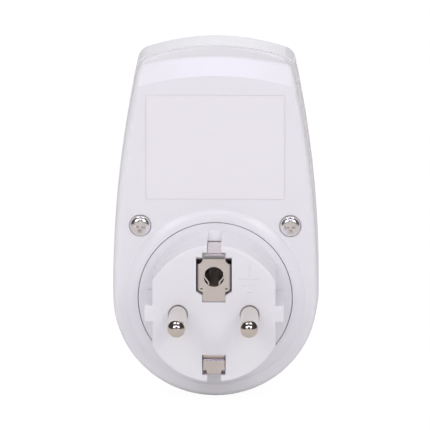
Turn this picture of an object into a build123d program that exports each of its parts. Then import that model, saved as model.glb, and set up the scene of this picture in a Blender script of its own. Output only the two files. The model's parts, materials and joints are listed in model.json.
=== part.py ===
from build123d import *
from math import asin, atan2, cos, degrees, hypot, radians, sin, sqrt
import os

# A plug-in dimmer: an earthed mains plug on the back, an earthed socket on the front
# and a rotary brightness knob above the socket, in a two-part moulded case.
# Z is up and the plug pins point along +Y. The origin is the centre of the plug's end face.
# A depth is measured from that end face towards the user, who stands on the -Y side.

os.makedirs("parts", exist_ok=True)

# Plug and socket pattern
pin_pitch = 19.0
pin_diameter = 4.8
pin_length = 19.0
earth_rise = 10.0
boss_diameter = 37.3
boss_height = 19.6
socket_diameter = 39.2
socket_depth = 15.0
socket_hole_diameter = 5.3
socket_earth_pin_length = 14.0

# Case outline, seen from the front, about the plug axis
case_surround = 8.2
case_side_radius = 290.0
case_top = 67.0
case_crown_margin = 4.4
case_corner_radius = 4.0

# Case depths and walls
cover_depth = 10.0
housing_depth = 17.3
case_wall = 2.2
collar_height = 1.1
cover_step = 0.35
cover_edge_round = 1.6
cover_bevel_drop = 6.6
cover_bevel_run = 2.5
cover_bevel_rise = 5.1
cover_bevel_margin = 16.4
cover_bevel_round = 1.2
housing_edge_round = 3.0
parting_round = 0.25

# Knob
knob_rise = 45.0
knob_diameter = 27.0
knob_length = 12.2
knob_well_depth = 1.5
knob_rest_angle = 150.0
rest_direction = 90.0 + knob_rest_angle

# Clearances and fits
moving_gap = 0.3
seat_gap = 0.2
running_gap = 0.05
overrun = 1.0

# The case outline keeps part of its corner radius as it is drawn in
corner_share = 0.6

# Depths of the main planes
boss_base = boss_height
rear_face = boss_base + collar_height
rear_inside = rear_face + case_wall
parting = rear_face + cover_depth
front_face = parting + housing_depth
front_inside = front_face - case_wall
well_floor = front_face - knob_well_depth
well_inside = well_floor - case_wall

pin_radius = pin_diameter / 2
pin_place = pin_pitch / 2
boss_radius = boss_diameter / 2
socket_radius = socket_diameter / 2
case_radius = socket_radius + case_surround
case_top_radius = 2 * case_radius + case_crown_margin
cover_bevel_arc = 2 * case_radius + cover_bevel_margin
knob_radius = knob_diameter / 2


def at_depth(depth):
    """The plane square to the pins at this depth; its normal points at the user."""
    return Plane.XZ.offset(depth)


def side_plane(x):
    """The upright plane along the pins at this X; its first axis is -depth, its second Z."""
    return Plane.YZ.offset(x)


def side_points(points):
    """Pairs of depth and height as points of a side plane."""
    return [(-depth, height) for depth, height in points]


def finish(piece, name):
    """Names a finished piece and writes it."""
    piece.part.label = name
    export_step(piece.part, f"parts/{name}.step")


def case_outline(inset):
    """The case's outline drawn in by an inset: half circle, long side arcs and a crowned top."""
    lower = case_radius - inset
    side = case_side_radius - inset
    crown = case_top_radius - inset
    side_shift = case_side_radius - case_radius
    crown_rise = case_top - case_top_radius
    span = hypot(side_shift, crown_rise)
    along = (side**2 - crown**2 + span**2) / (2 * span)
    across = sqrt(side**2 - along**2)
    corner_x = -side_shift + (along * side_shift - across * crown_rise) / span
    corner_z = (along * crown_rise + across * side_shift) / span
    side_angle = degrees(atan2(corner_z, corner_x + side_shift))
    crown_angle = degrees(atan2(corner_z - crown_rise, corner_x))
    with BuildSketch() as outline:
        with BuildLine():
            CenterArc((0, 0), lower, 180, 180)
            CenterArc((-side_shift, 0), side, 0, side_angle)
            CenterArc((0, crown_rise), crown, crown_angle, 180 - 2 * crown_angle)
            CenterArc((side_shift, 0), side, 180 - side_angle, side_angle)
        make_face()
        corners = outline.vertices().group_by(Axis.Y)[-1]
        fillet(corners, radius=case_corner_radius - inset * corner_share)
    return outline.sketch


def case_block(inset, start, end):
    """A solid of the case's outline between two depths."""
    outline = case_outline(inset)
    with BuildPart() as block:
        with BuildSketch(at_depth(start)):
            add(outline)
        extrude(amount=end - start)
    return block.part


def case_ring(outer_inset, inner_inset, start, end):
    """A ring along the case's outline between two insets and two depths."""
    inner = case_block(inner_inset, start, end)
    outer = case_block(outer_inset, start, end)
    with BuildPart() as ring:
        add(outer)
        add(inner, mode=Mode.SUBTRACT)
    return ring.part


def bevel_ring(growth):
    """The ring to cut away so that the cover's rear slopes off towards its crowned top."""
    low = case_top - cover_bevel_drop
    rear = rear_face - overrun
    with BuildPart() as ring:
        with BuildSketch(Plane.YZ) as profile:
            with BuildLine():
                Polyline(
                    *side_points(
                        [
                            (rear, low),
                            (rear_face, low),
                            (rear_face + cover_bevel_run, low + cover_bevel_rise),
                            (parting + overrun, case_top),
                            (parting + overrun, case_top + cover_bevel_drop),
                            (rear, case_top + cover_bevel_drop),
                        ]
                    ),
                    close=True,
                )
            make_face()
            crest = profile.vertices().sort_by_distance(
                (-rear_face - cover_bevel_run, low + cover_bevel_rise)
            )[0]
            fillet(crest, radius=cover_bevel_round + growth)
            if growth:
                offset(amount=growth, kind=Kind.INTERSECTION)
        revolve(axis=Axis((0, 0, low - cover_bevel_arc), (0, 1, 0)))
    return ring.part


def strip_outline(points, bend, thickness, side):
    """The outline of a bent strip: the points, joined by round bends, and their parallel."""
    with BuildLine() as strip:
        FilletPolyline(*points, radius=bend)
        offset(amount=thickness, side=side)
    return strip.edges()


# Screws that hold the case together
case_screw_inset = 7.7
case_screw_z = 19.6
case_screw_head_radius = 2.8
case_screw_head_height = 1.9
case_screw_head_bevel = 0.6
case_screw_shank_radius = 1.45
case_screw_length = 16.0
case_screw_recess = 0.5
case_post_radius = 3.0

case_screw_x = case_radius - case_screw_inset
case_screw_places = [(-case_screw_x, case_screw_z), (case_screw_x, case_screw_z)]
case_screw_seat = rear_face + case_screw_recess

# Plug insert
boss_wall = 2.2
end_wall = 3.0
face_round = 0.7
base_radius = 20.6
flange_radius = 23.2
flange_thickness = 1.5
flat_inset = 2.25
flat_wall = 1.8
key_rib_height = 4.5
pin_boss_radius = 3.9
pin_boss_length = 5.0
pin_root_radius = 2.2
pin_mouth_radius = 2.6
pin_mouth_depth = 0.8
strap_thickness = 0.5
strap_width = 3.5
strap_inset = 2.15
groove_wall = 1.6
groove_open_length = 15.2
groove_ramp_start = 0.3

strap_radius = boss_radius - strap_inset
groove_floor = strap_radius - strap_thickness
groove_half_width = strap_width / 2 + seat_gap / 2
cavity_radius = boss_radius - boss_wall
cavity_half_height = groove_floor - groove_wall
flat_half = boss_radius - flat_inset
cavity_half_width = flat_half - flat_wall
pin_boss_end = end_wall + pin_boss_length
flange_end = rear_inside + flange_thickness
collar_bore_radius = base_radius + seat_gap

# Earth plate in the end face, with its hole for the earth pin of a wall socket
plate_thickness = 0.8
plate_set_back = 0.9
plate_half_width = 4.4
plate_above_hole = 4.8
plate_below_hole = 3.6
plate_hole_radius = 2.7
plate_corner_cut = 1.4
plate_shoulder_drop = 0.6
plate_bend_radius = 0.75
plate_wing_length = 3.0
plate_wing_low = 3.6
plate_wing_high = 3.2
tongue_half_width = 3.0
tongue_end = 3.3
relief_width = 0.8
relief_height = 0.3
relief_lift = 0.35
window_half_width = 4.75
window_top = 15.45
window_shoulder = 6.1
window_neck = 5.1
tongue_gap = 0.08

plate_top = earth_rise + plate_above_hole
plate_shoulder = earth_rise - plate_below_hole
plate_neck = plate_shoulder - plate_shoulder_drop
plate_back = plate_set_back + plate_thickness
window_tongue = tongue_half_width + tongue_gap

# Earth strap with the two side clips, bent from one strip
clip_half_width = 2.85
clip_set_back = 0.5
clip_window_half_width = 3.1
clip_window_top = 16.75
clip_neck_half_width = 2.0
high_clip_reach = 0.75
low_clip_reach = 4.25
low_clip_neck = 1.2
low_clip_window_reach = 5.5
clip_fold_depth = 1.5
clip_fold_gap = 0.75
clip_tip_set_back = 0.7
clip_bend = 0.6
clip_fold_bend = 0.3
strap_bend = 1.0
bridge_depth = 20.6
bridge_end = bridge_depth + strap_thickness
bridge_slot_start = bridge_depth + strap_thickness - strap_bend

# Rear cover: a shallow tray with a collar round the plug insert and a field for a label
collar_crest_width = 0.8
collar_slope_width = 2.55
collar_bulge = 0.15
label_width = 37.2
label_height = 28.4
label_low_edge = 26.8
label_recess = 0.25
label_corner_radius = 0.5

collar_crest_radius = collar_bore_radius + collar_crest_width
collar_outer_radius = collar_crest_radius + collar_slope_width

cover_blank = case_block(cover_step, rear_face, parting)
cover_bevel = bevel_ring(0)
cover_hollow_blank = case_block(cover_step + case_wall, rear_inside, parting + overrun)
cover_hollow_bevel = bevel_ring(case_wall)

with BuildPart() as cover_hollow:
    add(cover_hollow_blank)
    add(cover_hollow_bevel, mode=Mode.SUBTRACT)

with BuildPart() as rear_cover:
    add(cover_blank)
    add(cover_bevel, mode=Mode.SUBTRACT)
    # the rear and the bevel have rounded sides, but meet in a crease
    front_edges = rear_cover.faces().sort_by(Axis.Y)[0].edges()
    crease_edges = (
        rear_cover.edges()
        .filter_by_position(Axis.X, -overrun, overrun)
        .filter_by_position(Axis.Z, knob_rise, case_top)
    )
    sharp_edges = front_edges + crease_edges
    round_edges = [edge for edge in rear_cover.edges().sort_by(Axis.X) if edge not in sharp_edges]
    fillet(round_edges, radius=cover_edge_round)
    add(cover_hollow.part, mode=Mode.SUBTRACT)
    # collar, level with the base of the plug boss and sloping down to the back of the case
    with BuildSketch(Plane.YZ):
        with BuildLine():
            Polyline(
                *side_points(
                    [
                        (rear_face, collar_outer_radius),
                        (rear_inside, collar_outer_radius),
                        (rear_inside, collar_bore_radius),
                        (boss_base, collar_bore_radius),
                        (boss_base, collar_crest_radius),
                    ]
                )
            )
            SagittaArc(
                (-boss_base, collar_crest_radius), (-rear_face, collar_outer_radius), -collar_bulge
            )
        make_face()
    revolve(axis=Axis.Y)
    # screw tubes and their holes
    with BuildSketch(at_depth(rear_inside - case_wall / 2)):
        with Locations(*case_screw_places):
            Circle(case_post_radius)
    extrude(amount=parting - rear_inside + case_wall / 2)
    with BuildSketch(at_depth(rear_face)):
        with Locations(*case_screw_places):
            Circle(case_screw_shank_radius + seat_gap)
    extrude(amount=cover_depth + overrun, mode=Mode.SUBTRACT)
    with BuildSketch(at_depth(rear_face)):
        with Locations(*case_screw_places):
            Circle(case_screw_head_radius + seat_gap)
    extrude(amount=case_screw_recess, mode=Mode.SUBTRACT)
    # opening for the plug insert
    with BuildSketch(at_depth(boss_base)):
        Circle(collar_bore_radius)
    extrude(amount=rear_inside - boss_base + overrun, mode=Mode.SUBTRACT)
    # shallow field for a label
    with BuildSketch(at_depth(rear_face)):
        with Locations((0, label_low_edge + label_height / 2)):
            RectangleRounded(label_width, label_height, radius=label_corner_radius)
    extrude(amount=label_recess, mode=Mode.SUBTRACT)
finish(rear_cover, "rear_cover")

# Front housing: a deep shell with the socket opening, the knob well and its posts
lip_height = 1.5
lip_thickness = 0.9
lip_gap = 0.3
socket_wall = 1.6
well_gap = 0.8
bushing_radius = 3.4
board_thickness = 1.6
board_rear = 33.2
board_post_radius = 2.2
board_post_inset = 12.6
board_post_low = 27.0
board_post_high = 57.8
board_pilot_radius = 0.9
board_pilot_depth = 6.0

board_front = board_rear + board_thickness
tub_radius = socket_radius + socket_wall
well_radius = knob_radius + well_gap
lip_outer = cover_step + case_wall + lip_gap
lip_inner = lip_outer + lip_thickness
board_post_x = case_radius - board_post_inset
board_post_places = [
    (side * board_post_x, height) for side in (-1, 1) for height in (board_post_low, board_post_high)
]

housing_blank = case_block(0, parting, front_face)
housing_hollow = case_block(case_wall, parting - overrun, front_inside)
housing_ledge = case_ring(case_wall - lip_gap, lip_inner, parting, parting + lip_height)
housing_lip = case_ring(lip_outer, lip_inner, parting - lip_height, parting + lip_height)

with BuildPart() as front_housing:
    add(housing_blank)
    fillet(front_housing.faces().sort_by(Axis.Y)[0].edges(), radius=housing_edge_round)
    fillet(front_housing.faces().sort_by(Axis.Y)[-1].edges(), radius=parting_round)
    add(housing_hollow, mode=Mode.SUBTRACT)
    add(housing_ledge)
    add(housing_lip)
    # thickened floor of the knob well
    with BuildSketch(at_depth(well_inside)):
        with Locations((0, knob_rise)):
            Circle(well_radius + case_wall)
    extrude(amount=front_inside - well_inside + case_wall / 2)
    with BuildSketch(at_depth(well_floor)):
        with Locations((0, knob_rise)):
            Circle(well_radius)
    extrude(amount=knob_well_depth + overrun, mode=Mode.SUBTRACT)
    # opening for the socket insert and hole for the control's threaded neck
    with BuildSketch(at_depth(well_inside - overrun)):
        Circle(tub_radius + seat_gap)
        with Locations((0, knob_rise)):
            Circle(bushing_radius + seat_gap)
    extrude(amount=front_face - well_inside + 2 * overrun, mode=Mode.SUBTRACT)
    # posts for the case screws and for the circuit board
    with BuildSketch(at_depth(parting)):
        with Locations(*case_screw_places):
            Circle(case_post_radius)
    extrude(amount=front_inside - parting + case_wall / 2)
    with BuildSketch(at_depth(board_front)):
        with Locations(*board_post_places):
            Circle(board_post_radius)
    extrude(amount=front_inside - board_front + case_wall / 2)
    with BuildSketch(at_depth(parting)):
        with Locations(*case_screw_places):
            Circle(case_screw_shank_radius)
    extrude(amount=case_screw_seat + case_screw_length - parting + overrun, mode=Mode.SUBTRACT)
    with BuildSketch(at_depth(board_front)):
        with Locations(*board_post_places):
            Circle(board_pilot_radius)
    extrude(amount=board_pilot_depth, mode=Mode.SUBTRACT)
finish(front_housing, "front_housing")

with BuildPart() as case_screws:
    with BuildSketch(at_depth(case_screw_seat - case_screw_head_height)):
        with Locations(*case_screw_places):
            Circle(case_screw_head_radius)
    extrude(amount=case_screw_head_height)
    chamfer(case_screws.edges().group_by(Axis.Y)[-1], length=case_screw_head_bevel)
    with BuildSketch(at_depth(case_screw_seat)):
        with Locations(*case_screw_places):
            Circle(case_screw_shank_radius)
    extrude(amount=case_screw_length)
finish(case_screws, "case_screws")

with BuildPart() as plug_insert:
    # round boss with a flat and a key rib on each side
    with BuildSketch(at_depth(0)):
        Rectangle(2 * flat_half, 2 * boss_radius)
        Rectangle(2 * boss_radius, key_rib_height)
        Circle(boss_radius, mode=Mode.INTERSECT)
    extrude(amount=boss_base)
    fillet(plug_insert.edges().group_by(Axis.Y)[-1], radius=face_round)
    with BuildSketch(at_depth(boss_base)):
        Circle(base_radius)
    extrude(amount=rear_inside - boss_base)
    with BuildSketch(at_depth(rear_inside)):
        Circle(flange_radius)
    extrude(amount=flange_thickness)
    # hollow behind the end wall, with a tube round each pin's root
    with BuildSketch(at_depth(end_wall)):
        Circle(cavity_radius)
        Rectangle(2 * cavity_half_width, 2 * cavity_half_height, mode=Mode.INTERSECT)
    extrude(amount=flange_end - end_wall + overrun, mode=Mode.SUBTRACT)
    with BuildSketch(at_depth(end_wall)):
        with Locations((-pin_place, 0), (pin_place, 0)):
            Circle(pin_boss_radius)
    extrude(amount=pin_boss_length)
    with BuildSketch(at_depth(0)):
        with Locations((-pin_place, 0), (pin_place, 0)):
            Circle(pin_root_radius)
    extrude(amount=pin_boss_end, mode=Mode.SUBTRACT)
    with BuildSketch(at_depth(0)):
        with Locations((-pin_place, 0), (pin_place, 0)):
            Circle(pin_mouth_radius)
    extrude(amount=pin_mouth_depth, mode=Mode.SUBTRACT)
    # window for the earth plate, joined at its top to the slot of the upper clip
    with BuildSketch(at_depth(0)):
        with BuildLine():
            Polyline(
                (-window_tongue, tongue_end - tongue_gap),
                (window_tongue, tongue_end - tongue_gap),
                (window_tongue, window_neck),
                (window_half_width, window_shoulder),
                (window_half_width, window_top),
                (-window_half_width, window_top),
                (-window_half_width, window_shoulder),
                (-window_tongue, window_neck),
                close=True,
            )
        make_face()
        with Locations((0, (window_top + clip_window_top) / 2)):
            Rectangle(2 * clip_window_half_width, clip_window_top - window_top)
        with Locations((0, low_clip_window_reach / 2 - strap_radius)):
            Rectangle(2 * clip_window_half_width, low_clip_window_reach)
    extrude(amount=end_wall, mode=Mode.SUBTRACT)
    # grooves for the strap above and below, with a ramp up to the base
    with BuildSketch(Plane.YZ):
        for up in (-1, 1):
            with BuildLine():
                Polyline(
                    *side_points(
                        [
                            (-overrun, up * groove_floor),
                            (groove_open_length, up * groove_floor),
                            (groove_open_length, up * (strap_radius + groove_ramp_start)),
                            (boss_base, up * boss_radius),
                            (boss_base, up * (boss_radius + overrun)),
                            (-overrun, up * (boss_radius + overrun)),
                        ]
                    ),
                    close=True,
                )
            make_face()
    extrude(amount=groove_half_width, both=True, mode=Mode.SUBTRACT)
    with BuildSketch(at_depth(groove_open_length)):
        for up in (-1, 1):
            with Locations((0, up * (groove_floor + (strap_thickness + seat_gap / 2) / 2))):
                Rectangle(2 * groove_half_width, strap_thickness + seat_gap / 2)
    extrude(amount=flange_end - groove_open_length, mode=Mode.SUBTRACT)
    with BuildSketch(at_depth(bridge_slot_start)):
        Rectangle(2 * groove_half_width, 2 * strap_radius + seat_gap)
    extrude(amount=flange_end - bridge_slot_start, mode=Mode.SUBTRACT)
finish(plug_insert, "plug_insert")

# Plug pins: a solid pin with a rounded tip, a root through the end wall and a riveted head
pin_head_radius = 3.6
pin_head_thickness = 2.4
rivet_radius = 1.4
contact_thickness = 0.8
rivet_stand = 0.6
insulator_thickness = 2.0

pin_head_end = pin_boss_end + pin_head_thickness


def plug_pin(x):
    """One plug pin, its tip towards the wall."""
    with BuildPart() as pin:
        with BuildSketch(at_depth(pin_radius - pin_length)):
            with Locations((x, 0)):
                Circle(pin_radius)
        extrude(amount=pin_length - pin_radius)
        with Locations((x, pin_length - pin_radius, 0)):
            Sphere(pin_radius)
        with BuildSketch(at_depth(0)):
            with Locations((x, 0)):
                Circle(pin_root_radius)
        extrude(amount=pin_boss_end)
        with BuildSketch(at_depth(pin_boss_end)):
            with Locations((x, 0)):
                Circle(pin_head_radius)
        extrude(amount=pin_head_thickness)
        with BuildSketch(at_depth(pin_head_end)):
            with Locations((x, 0)):
                Circle(rivet_radius)
        extrude(amount=contact_thickness + rivet_stand)
    return pin


live_pin = plug_pin(pin_place)
finish(live_pin, "live_pin")
neutral_pin = plug_pin(-pin_place)
finish(neutral_pin, "neutral_pin")

strap_points = [
    (clip_set_back, strap_radius - high_clip_reach),
    (clip_set_back, strap_radius),
    (bridge_end, strap_radius),
    (bridge_end, -strap_radius),
    (clip_set_back, -strap_radius),
    (clip_set_back, low_clip_reach - strap_radius),
    (clip_set_back + clip_fold_depth, low_clip_reach - strap_radius),
    (clip_set_back + clip_fold_depth, low_clip_reach + clip_fold_gap - strap_radius),
    (clip_tip_set_back, low_clip_reach + clip_fold_gap - strap_radius),
]
strap_bends = [
    clip_bend,
    strap_bend,
    strap_bend,
    clip_bend,
    clip_bend,
    clip_fold_bend,
    clip_fold_bend,
]
clip_depth = clip_set_back + clip_fold_depth + strap_thickness

with BuildPart() as earth_strap:
    with BuildSketch(Plane.YZ):
        make_face(strip_outline(side_points(strap_points), strap_bends, strap_thickness, Side.LEFT))
    extrude(amount=clip_half_width, both=True)
    # behind the clips the strip is narrow, and each clip narrows towards its bend
    with BuildSketch(at_depth(clip_depth)):
        for side in (-1, 1):
            with Locations((side * (strap_width / 2 + clip_half_width) / 2, 0)):
                Rectangle(clip_half_width - strap_width / 2, 2 * boss_radius)
    extrude(amount=bridge_end, mode=Mode.SUBTRACT)
    with BuildSketch(at_depth(0)):
        for side in (-1, 1):
            with BuildLine():
                Polyline(
                    (side * clip_neck_half_width, low_clip_neck - strap_radius),
                    (side * strap_width / 2, -strap_radius),
                    (side * strap_width / 2, -boss_radius),
                    (side * boss_radius, -boss_radius),
                    (side * boss_radius, low_clip_neck - strap_radius),
                    close=True,
                )
            make_face()
            with BuildLine():
                Polyline(
                    (side * clip_neck_half_width, strap_radius),
                    (side * clip_half_width, strap_radius - high_clip_reach),
                    (side * boss_radius, strap_radius - high_clip_reach),
                    (side * boss_radius, boss_radius),
                    (side * clip_neck_half_width, boss_radius),
                    close=True,
                )
            make_face()
    extrude(amount=clip_set_back + strap_thickness, mode=Mode.SUBTRACT)
    with BuildSketch(at_depth(clip_set_back + strap_thickness)):
        for side in (-1, 1):
            for up in (-1, 1):
                with Locations(
                    (
                        side * (strap_width / 2 + clip_half_width) / 2,
                        up * (strap_radius - strap_thickness / 2),
                    )
                ):
                    Rectangle(clip_half_width - strap_width / 2, 2 * strap_thickness)
    extrude(amount=clip_depth, mode=Mode.SUBTRACT)
    # hole for the riveted end of the socket's earth pin
    with BuildSketch(at_depth(bridge_depth)):
        with Locations((0, earth_rise)):
            Circle(rivet_radius)
    extrude(amount=strap_thickness, mode=Mode.SUBTRACT)
finish(earth_strap, "earth_strap")

with BuildPart() as earth_contact_plate:
    with BuildSketch(at_depth(plate_set_back)):
        with BuildLine():
            Polyline(
                (-tongue_half_width, tongue_end),
                (tongue_half_width, tongue_end),
                (tongue_half_width, plate_neck),
                (plate_half_width, plate_shoulder),
                (plate_half_width, plate_top),
                (-plate_half_width, plate_top),
                (-plate_half_width, plate_shoulder),
                (-tongue_half_width, plate_neck),
                close=True,
            )
        make_face()
        with Locations((-plate_half_width, plate_top), (plate_half_width, plate_top)):
            Circle(plate_corner_cut, mode=Mode.SUBTRACT)
        with Locations((0, earth_rise)):
            Circle(plate_hole_radius, mode=Mode.SUBTRACT)
        with Locations(
            (-tongue_half_width - relief_width / 2, plate_shoulder + relief_lift),
            (tongue_half_width + relief_width / 2, plate_shoulder + relief_lift),
        ):
            Rectangle(relief_width, relief_height, mode=Mode.SUBTRACT)
    extrude(amount=plate_thickness)
    # sides bent away from the face
    with BuildSketch(at_depth(plate_set_back)):
        for side in (-1, 1):
            with Locations(
                (
                    side * (plate_half_width - plate_thickness / 2),
                    earth_rise + (plate_wing_high - plate_wing_low) / 2,
                )
            ):
                Rectangle(plate_thickness, plate_wing_high + plate_wing_low)
    extrude(amount=plate_thickness + plate_wing_length)
    # tongue bent back to the strap's bridge
    with BuildSketch(at_depth(plate_set_back)):
        with Locations((0, tongue_end + plate_thickness / 2)):
            Rectangle(2 * tongue_half_width, plate_thickness)
    extrude(amount=bridge_depth - plate_set_back)
    # the bends are round
    bend_edges = (
        earth_contact_plate.edges()
        .filter_by(Axis.Z)
        .filter_by_position(Axis.Y, -plate_set_back, -plate_set_back)
        .group_by(Axis.X)
    )
    fillet(bend_edges[0] + bend_edges[-1], radius=plate_bend_radius)
finish(earth_contact_plate, "earth_contact_plate")

# Spring inside the plate's hole: a vase-shaped leaf that grips the earth pin
leaf_thickness = 0.35
leaf_length = 8.0
leaf_low_half = 1.25
leaf_high_half = 2.45
leaf_bend = 0.8
leaf_low = 3.4
leaf_waist = 1.6
leaf_shoulder = 0.1
leaf_high = 3.6

leaf_points = [
    (-leaf_low_half, earth_rise - leaf_low),
    (-leaf_low_half, earth_rise - leaf_waist),
    (-leaf_high_half, earth_rise - leaf_shoulder),
    (-leaf_high_half, earth_rise + leaf_high),
    (leaf_high_half, earth_rise + leaf_high),
    (leaf_high_half, earth_rise - leaf_shoulder),
    (leaf_low_half, earth_rise - leaf_waist),
    (leaf_low_half, earth_rise - leaf_low),
]

with BuildPart() as earth_pin_spring:
    with BuildSketch(at_depth(plate_back)):
        make_face(strip_outline(leaf_points, leaf_bend, leaf_thickness, Side.LEFT))
    extrude(amount=leaf_length)
finish(earth_pin_spring, "earth_pin_spring")

# Socket insert: a tub with a floor, its holes and a skirt round the shutter
floor_thickness = 2.5
tub_flange_width = 1.3
tub_flange_thickness = 1.6
tub_mouth_chamfer = 0.6
skirt_outer_radius = 19.0
skirt_wall = 1.6
skirt_length = 3.7
earth_root_radius = 1.9
pivot_radius = 2.0
retainer_thickness = 1.5

floor_front = front_face - socket_depth
floor_back = floor_front - floor_thickness
retainer_front = floor_back - skirt_length + retainer_thickness
retainer_back = retainer_front - retainer_thickness
socket_hole_radius = socket_hole_diameter / 2

with BuildPart() as socket_insert:
    with BuildSketch(at_depth(floor_back)):
        Circle(tub_radius)
    extrude(amount=front_face - floor_back)
    with BuildSketch(at_depth(front_inside - tub_flange_thickness)):
        Circle(tub_radius + tub_flange_width)
    extrude(amount=tub_flange_thickness)
    with BuildSketch(at_depth(floor_front)):
        Circle(socket_radius)
    extrude(amount=socket_depth, mode=Mode.SUBTRACT)
    chamfer(
        socket_insert.edges().group_by(Axis.Y)[0].filter_by(GeomType.CIRCLE).sort_by(SortBy.LENGTH)[0],
        length=tub_mouth_chamfer,
    )
    with BuildSketch(at_depth(retainer_back)):
        Circle(skirt_outer_radius)
        Circle(skirt_outer_radius - skirt_wall, mode=Mode.SUBTRACT)
    extrude(amount=skirt_length)
    with BuildSketch(at_depth(retainer_front)):
        Circle(pivot_radius)
    extrude(amount=floor_back - retainer_front)
    with BuildSketch(at_depth(floor_back)):
        with Locations((-pin_place, 0), (pin_place, 0)):
            Circle(socket_hole_radius)
        with Locations((0, earth_rise)):
            Circle(earth_root_radius)
    extrude(amount=floor_thickness, mode=Mode.SUBTRACT)
finish(socket_insert, "socket_insert")

# Earth pin of the socket, riveted to the bridge of the strap
socket_pin_flange_radius = 2.5
socket_pin_flange_thickness = 0.6
socket_pin_tip = floor_front + socket_earth_pin_length

with BuildPart() as socket_earth_pin:
    with BuildSketch(at_depth(floor_front)):
        with Locations((0, earth_rise)):
            Circle(pin_radius)
    extrude(amount=socket_earth_pin_length - pin_radius)
    with Locations((0, pin_radius - socket_pin_tip, earth_rise)):
        Sphere(pin_radius)
    with BuildSketch(at_depth(bridge_end)):
        with Locations((0, earth_rise)):
            Circle(earth_root_radius)
    extrude(amount=floor_front - bridge_end)
    with BuildSketch(at_depth(floor_back - socket_pin_flange_thickness)):
        with Locations((0, earth_rise)):
            Circle(socket_pin_flange_radius)
    extrude(amount=socket_pin_flange_thickness)
    with BuildSketch(at_depth(bridge_depth - rivet_stand)):
        with Locations((0, earth_rise)):
            Circle(rivet_radius)
    extrude(amount=strap_thickness + rivet_stand)
finish(socket_earth_pin, "socket_earth_pin")

# Shutter behind the socket floor: two arms on a hub, turned aside by the pins of a plug
shutter_tip_radius = 12.6
shutter_arm_width = 6.0
shutter_hub_radius = 4.4
shutter_ramp = 0.6

shutter_back = retainer_front + moving_gap
shutter_front = floor_back - moving_gap

with BuildPart() as socket_shutter:
    with BuildSketch(at_depth(shutter_back)):
        SlotOverall(2 * shutter_tip_radius, shutter_arm_width)
        Circle(shutter_hub_radius)
        Circle(pivot_radius + running_gap, mode=Mode.SUBTRACT)
    extrude(amount=shutter_front - shutter_back)
    # ramps for the plug's pins along the leading edges of the arms
    ramp_edges = socket_shutter.edges().group_by(Axis.Y)[0].filter_by(Axis.X)
    chamfer(ramp_edges, length=shutter_ramp)
finish(socket_shutter, "socket_shutter")

# Retainer that closes the shutter's chamber, with posts and the peg of the spring
retainer_post_radius = 1.5
retainer_post_circle = 15.0
retainer_post_half_angle = 20.0
contact_mouth_radius = 2.9
spring_circle = 8.0
spring_peg_radius = 0.8
spring_peg_angle = 108.0
spring_wire_radius = 0.35

retainer_post_angles = [
    base + side * retainer_post_half_angle for base in (90, 270) for side in (-1, 1)
]
spring_peg_place = (
    spring_circle * cos(radians(spring_peg_angle)),
    spring_circle * sin(radians(spring_peg_angle)),
)

with BuildPart() as shutter_retainer:
    with BuildSketch(at_depth(retainer_back)):
        Circle(skirt_outer_radius - skirt_wall - seat_gap)
        with Locations((-pin_place, 0), (pin_place, 0)):
            Circle(contact_mouth_radius, mode=Mode.SUBTRACT)
        with Locations((0, earth_rise)):
            Circle(earth_root_radius + seat_gap, mode=Mode.SUBTRACT)
    extrude(amount=retainer_thickness)
    with BuildSketch(at_depth(retainer_front)):
        for angle in retainer_post_angles:
            with Locations(
                (
                    retainer_post_circle * cos(radians(angle)),
                    retainer_post_circle * sin(radians(angle)),
                )
            ):
                Circle(retainer_post_radius)
    extrude(amount=floor_back - retainer_front)
    with BuildSketch(at_depth(retainer_front)):
        with Locations(spring_peg_place):
            Circle(spring_peg_radius)
    extrude(amount=shutter_front - retainer_front)
finish(shutter_retainer, "shutter_retainer")

# Bow spring between the peg and the back of the left arm
shutter_mid = (shutter_back + shutter_front) / 2
peg_half_angle = degrees(spring_peg_radius / spring_circle)
arm_edge_angle = 180 - degrees(asin(shutter_arm_width / 2 / spring_circle))
gap_angle = degrees(moving_gap / spring_circle)
spring_start = spring_peg_angle + peg_half_angle + gap_angle / 2
spring_sweep = arm_edge_angle - gap_angle - spring_start

with BuildPart() as shutter_spring:
    with BuildLine(at_depth(shutter_mid)) as spring_path:
        CenterArc((0, 0), spring_circle, spring_start, spring_sweep)
    with BuildSketch(spring_path.line ^ 0):
        Circle(spring_wire_radius)
    sweep(path=spring_path.line)
finish(shutter_spring, "shutter_spring")

# Socket contacts: two spring arms on a base that is riveted behind the plug's pin
contact_half_width = 2.5
contact_base_half = 3.2
contact_base_reach = 3.5
live_tab_reach = 7.8
arm_thickness = 0.6
arm_inner = 2.9
arm_pinch = 2.0
arm_mouth = 3.1
arm_bend = 1.5
arm_straight_end = 19.5
arm_pinch_depth = 22.5
arm_end = 26.2


def socket_contact(x, base_depth, tab_reach):
    """One socket contact on the axis of a plug pin."""
    with BuildPart() as contact:
        with BuildSketch(at_depth(base_depth)):
            with Locations((x, (tab_reach - contact_base_reach) / 2)):
                Rectangle(2 * contact_base_half, contact_base_reach + tab_reach)
            with Locations((x, 0)):
                Circle(rivet_radius, mode=Mode.SUBTRACT)
        extrude(amount=contact_thickness)
        with BuildSketch(side_plane(x)):
            for up, side in ((1, Side.RIGHT), (-1, Side.LEFT)):
                arm_points = side_points(
                    [
                        (base_depth + contact_thickness, up * arm_inner),
                        (arm_straight_end, up * arm_inner),
                        (arm_pinch_depth, up * arm_pinch),
                        (arm_end, up * arm_mouth),
                    ]
                )
                make_face(strip_outline(arm_points, arm_bend, arm_thickness, side))
        extrude(amount=contact_half_width, both=True)
    return contact


neutral_contact = socket_contact(-pin_place, pin_head_end, contact_base_reach)
finish(neutral_contact, "neutral_contact")
live_contact = socket_contact(pin_place, pin_head_end + insulator_thickness, live_tab_reach)
finish(live_contact, "live_contact")

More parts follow.
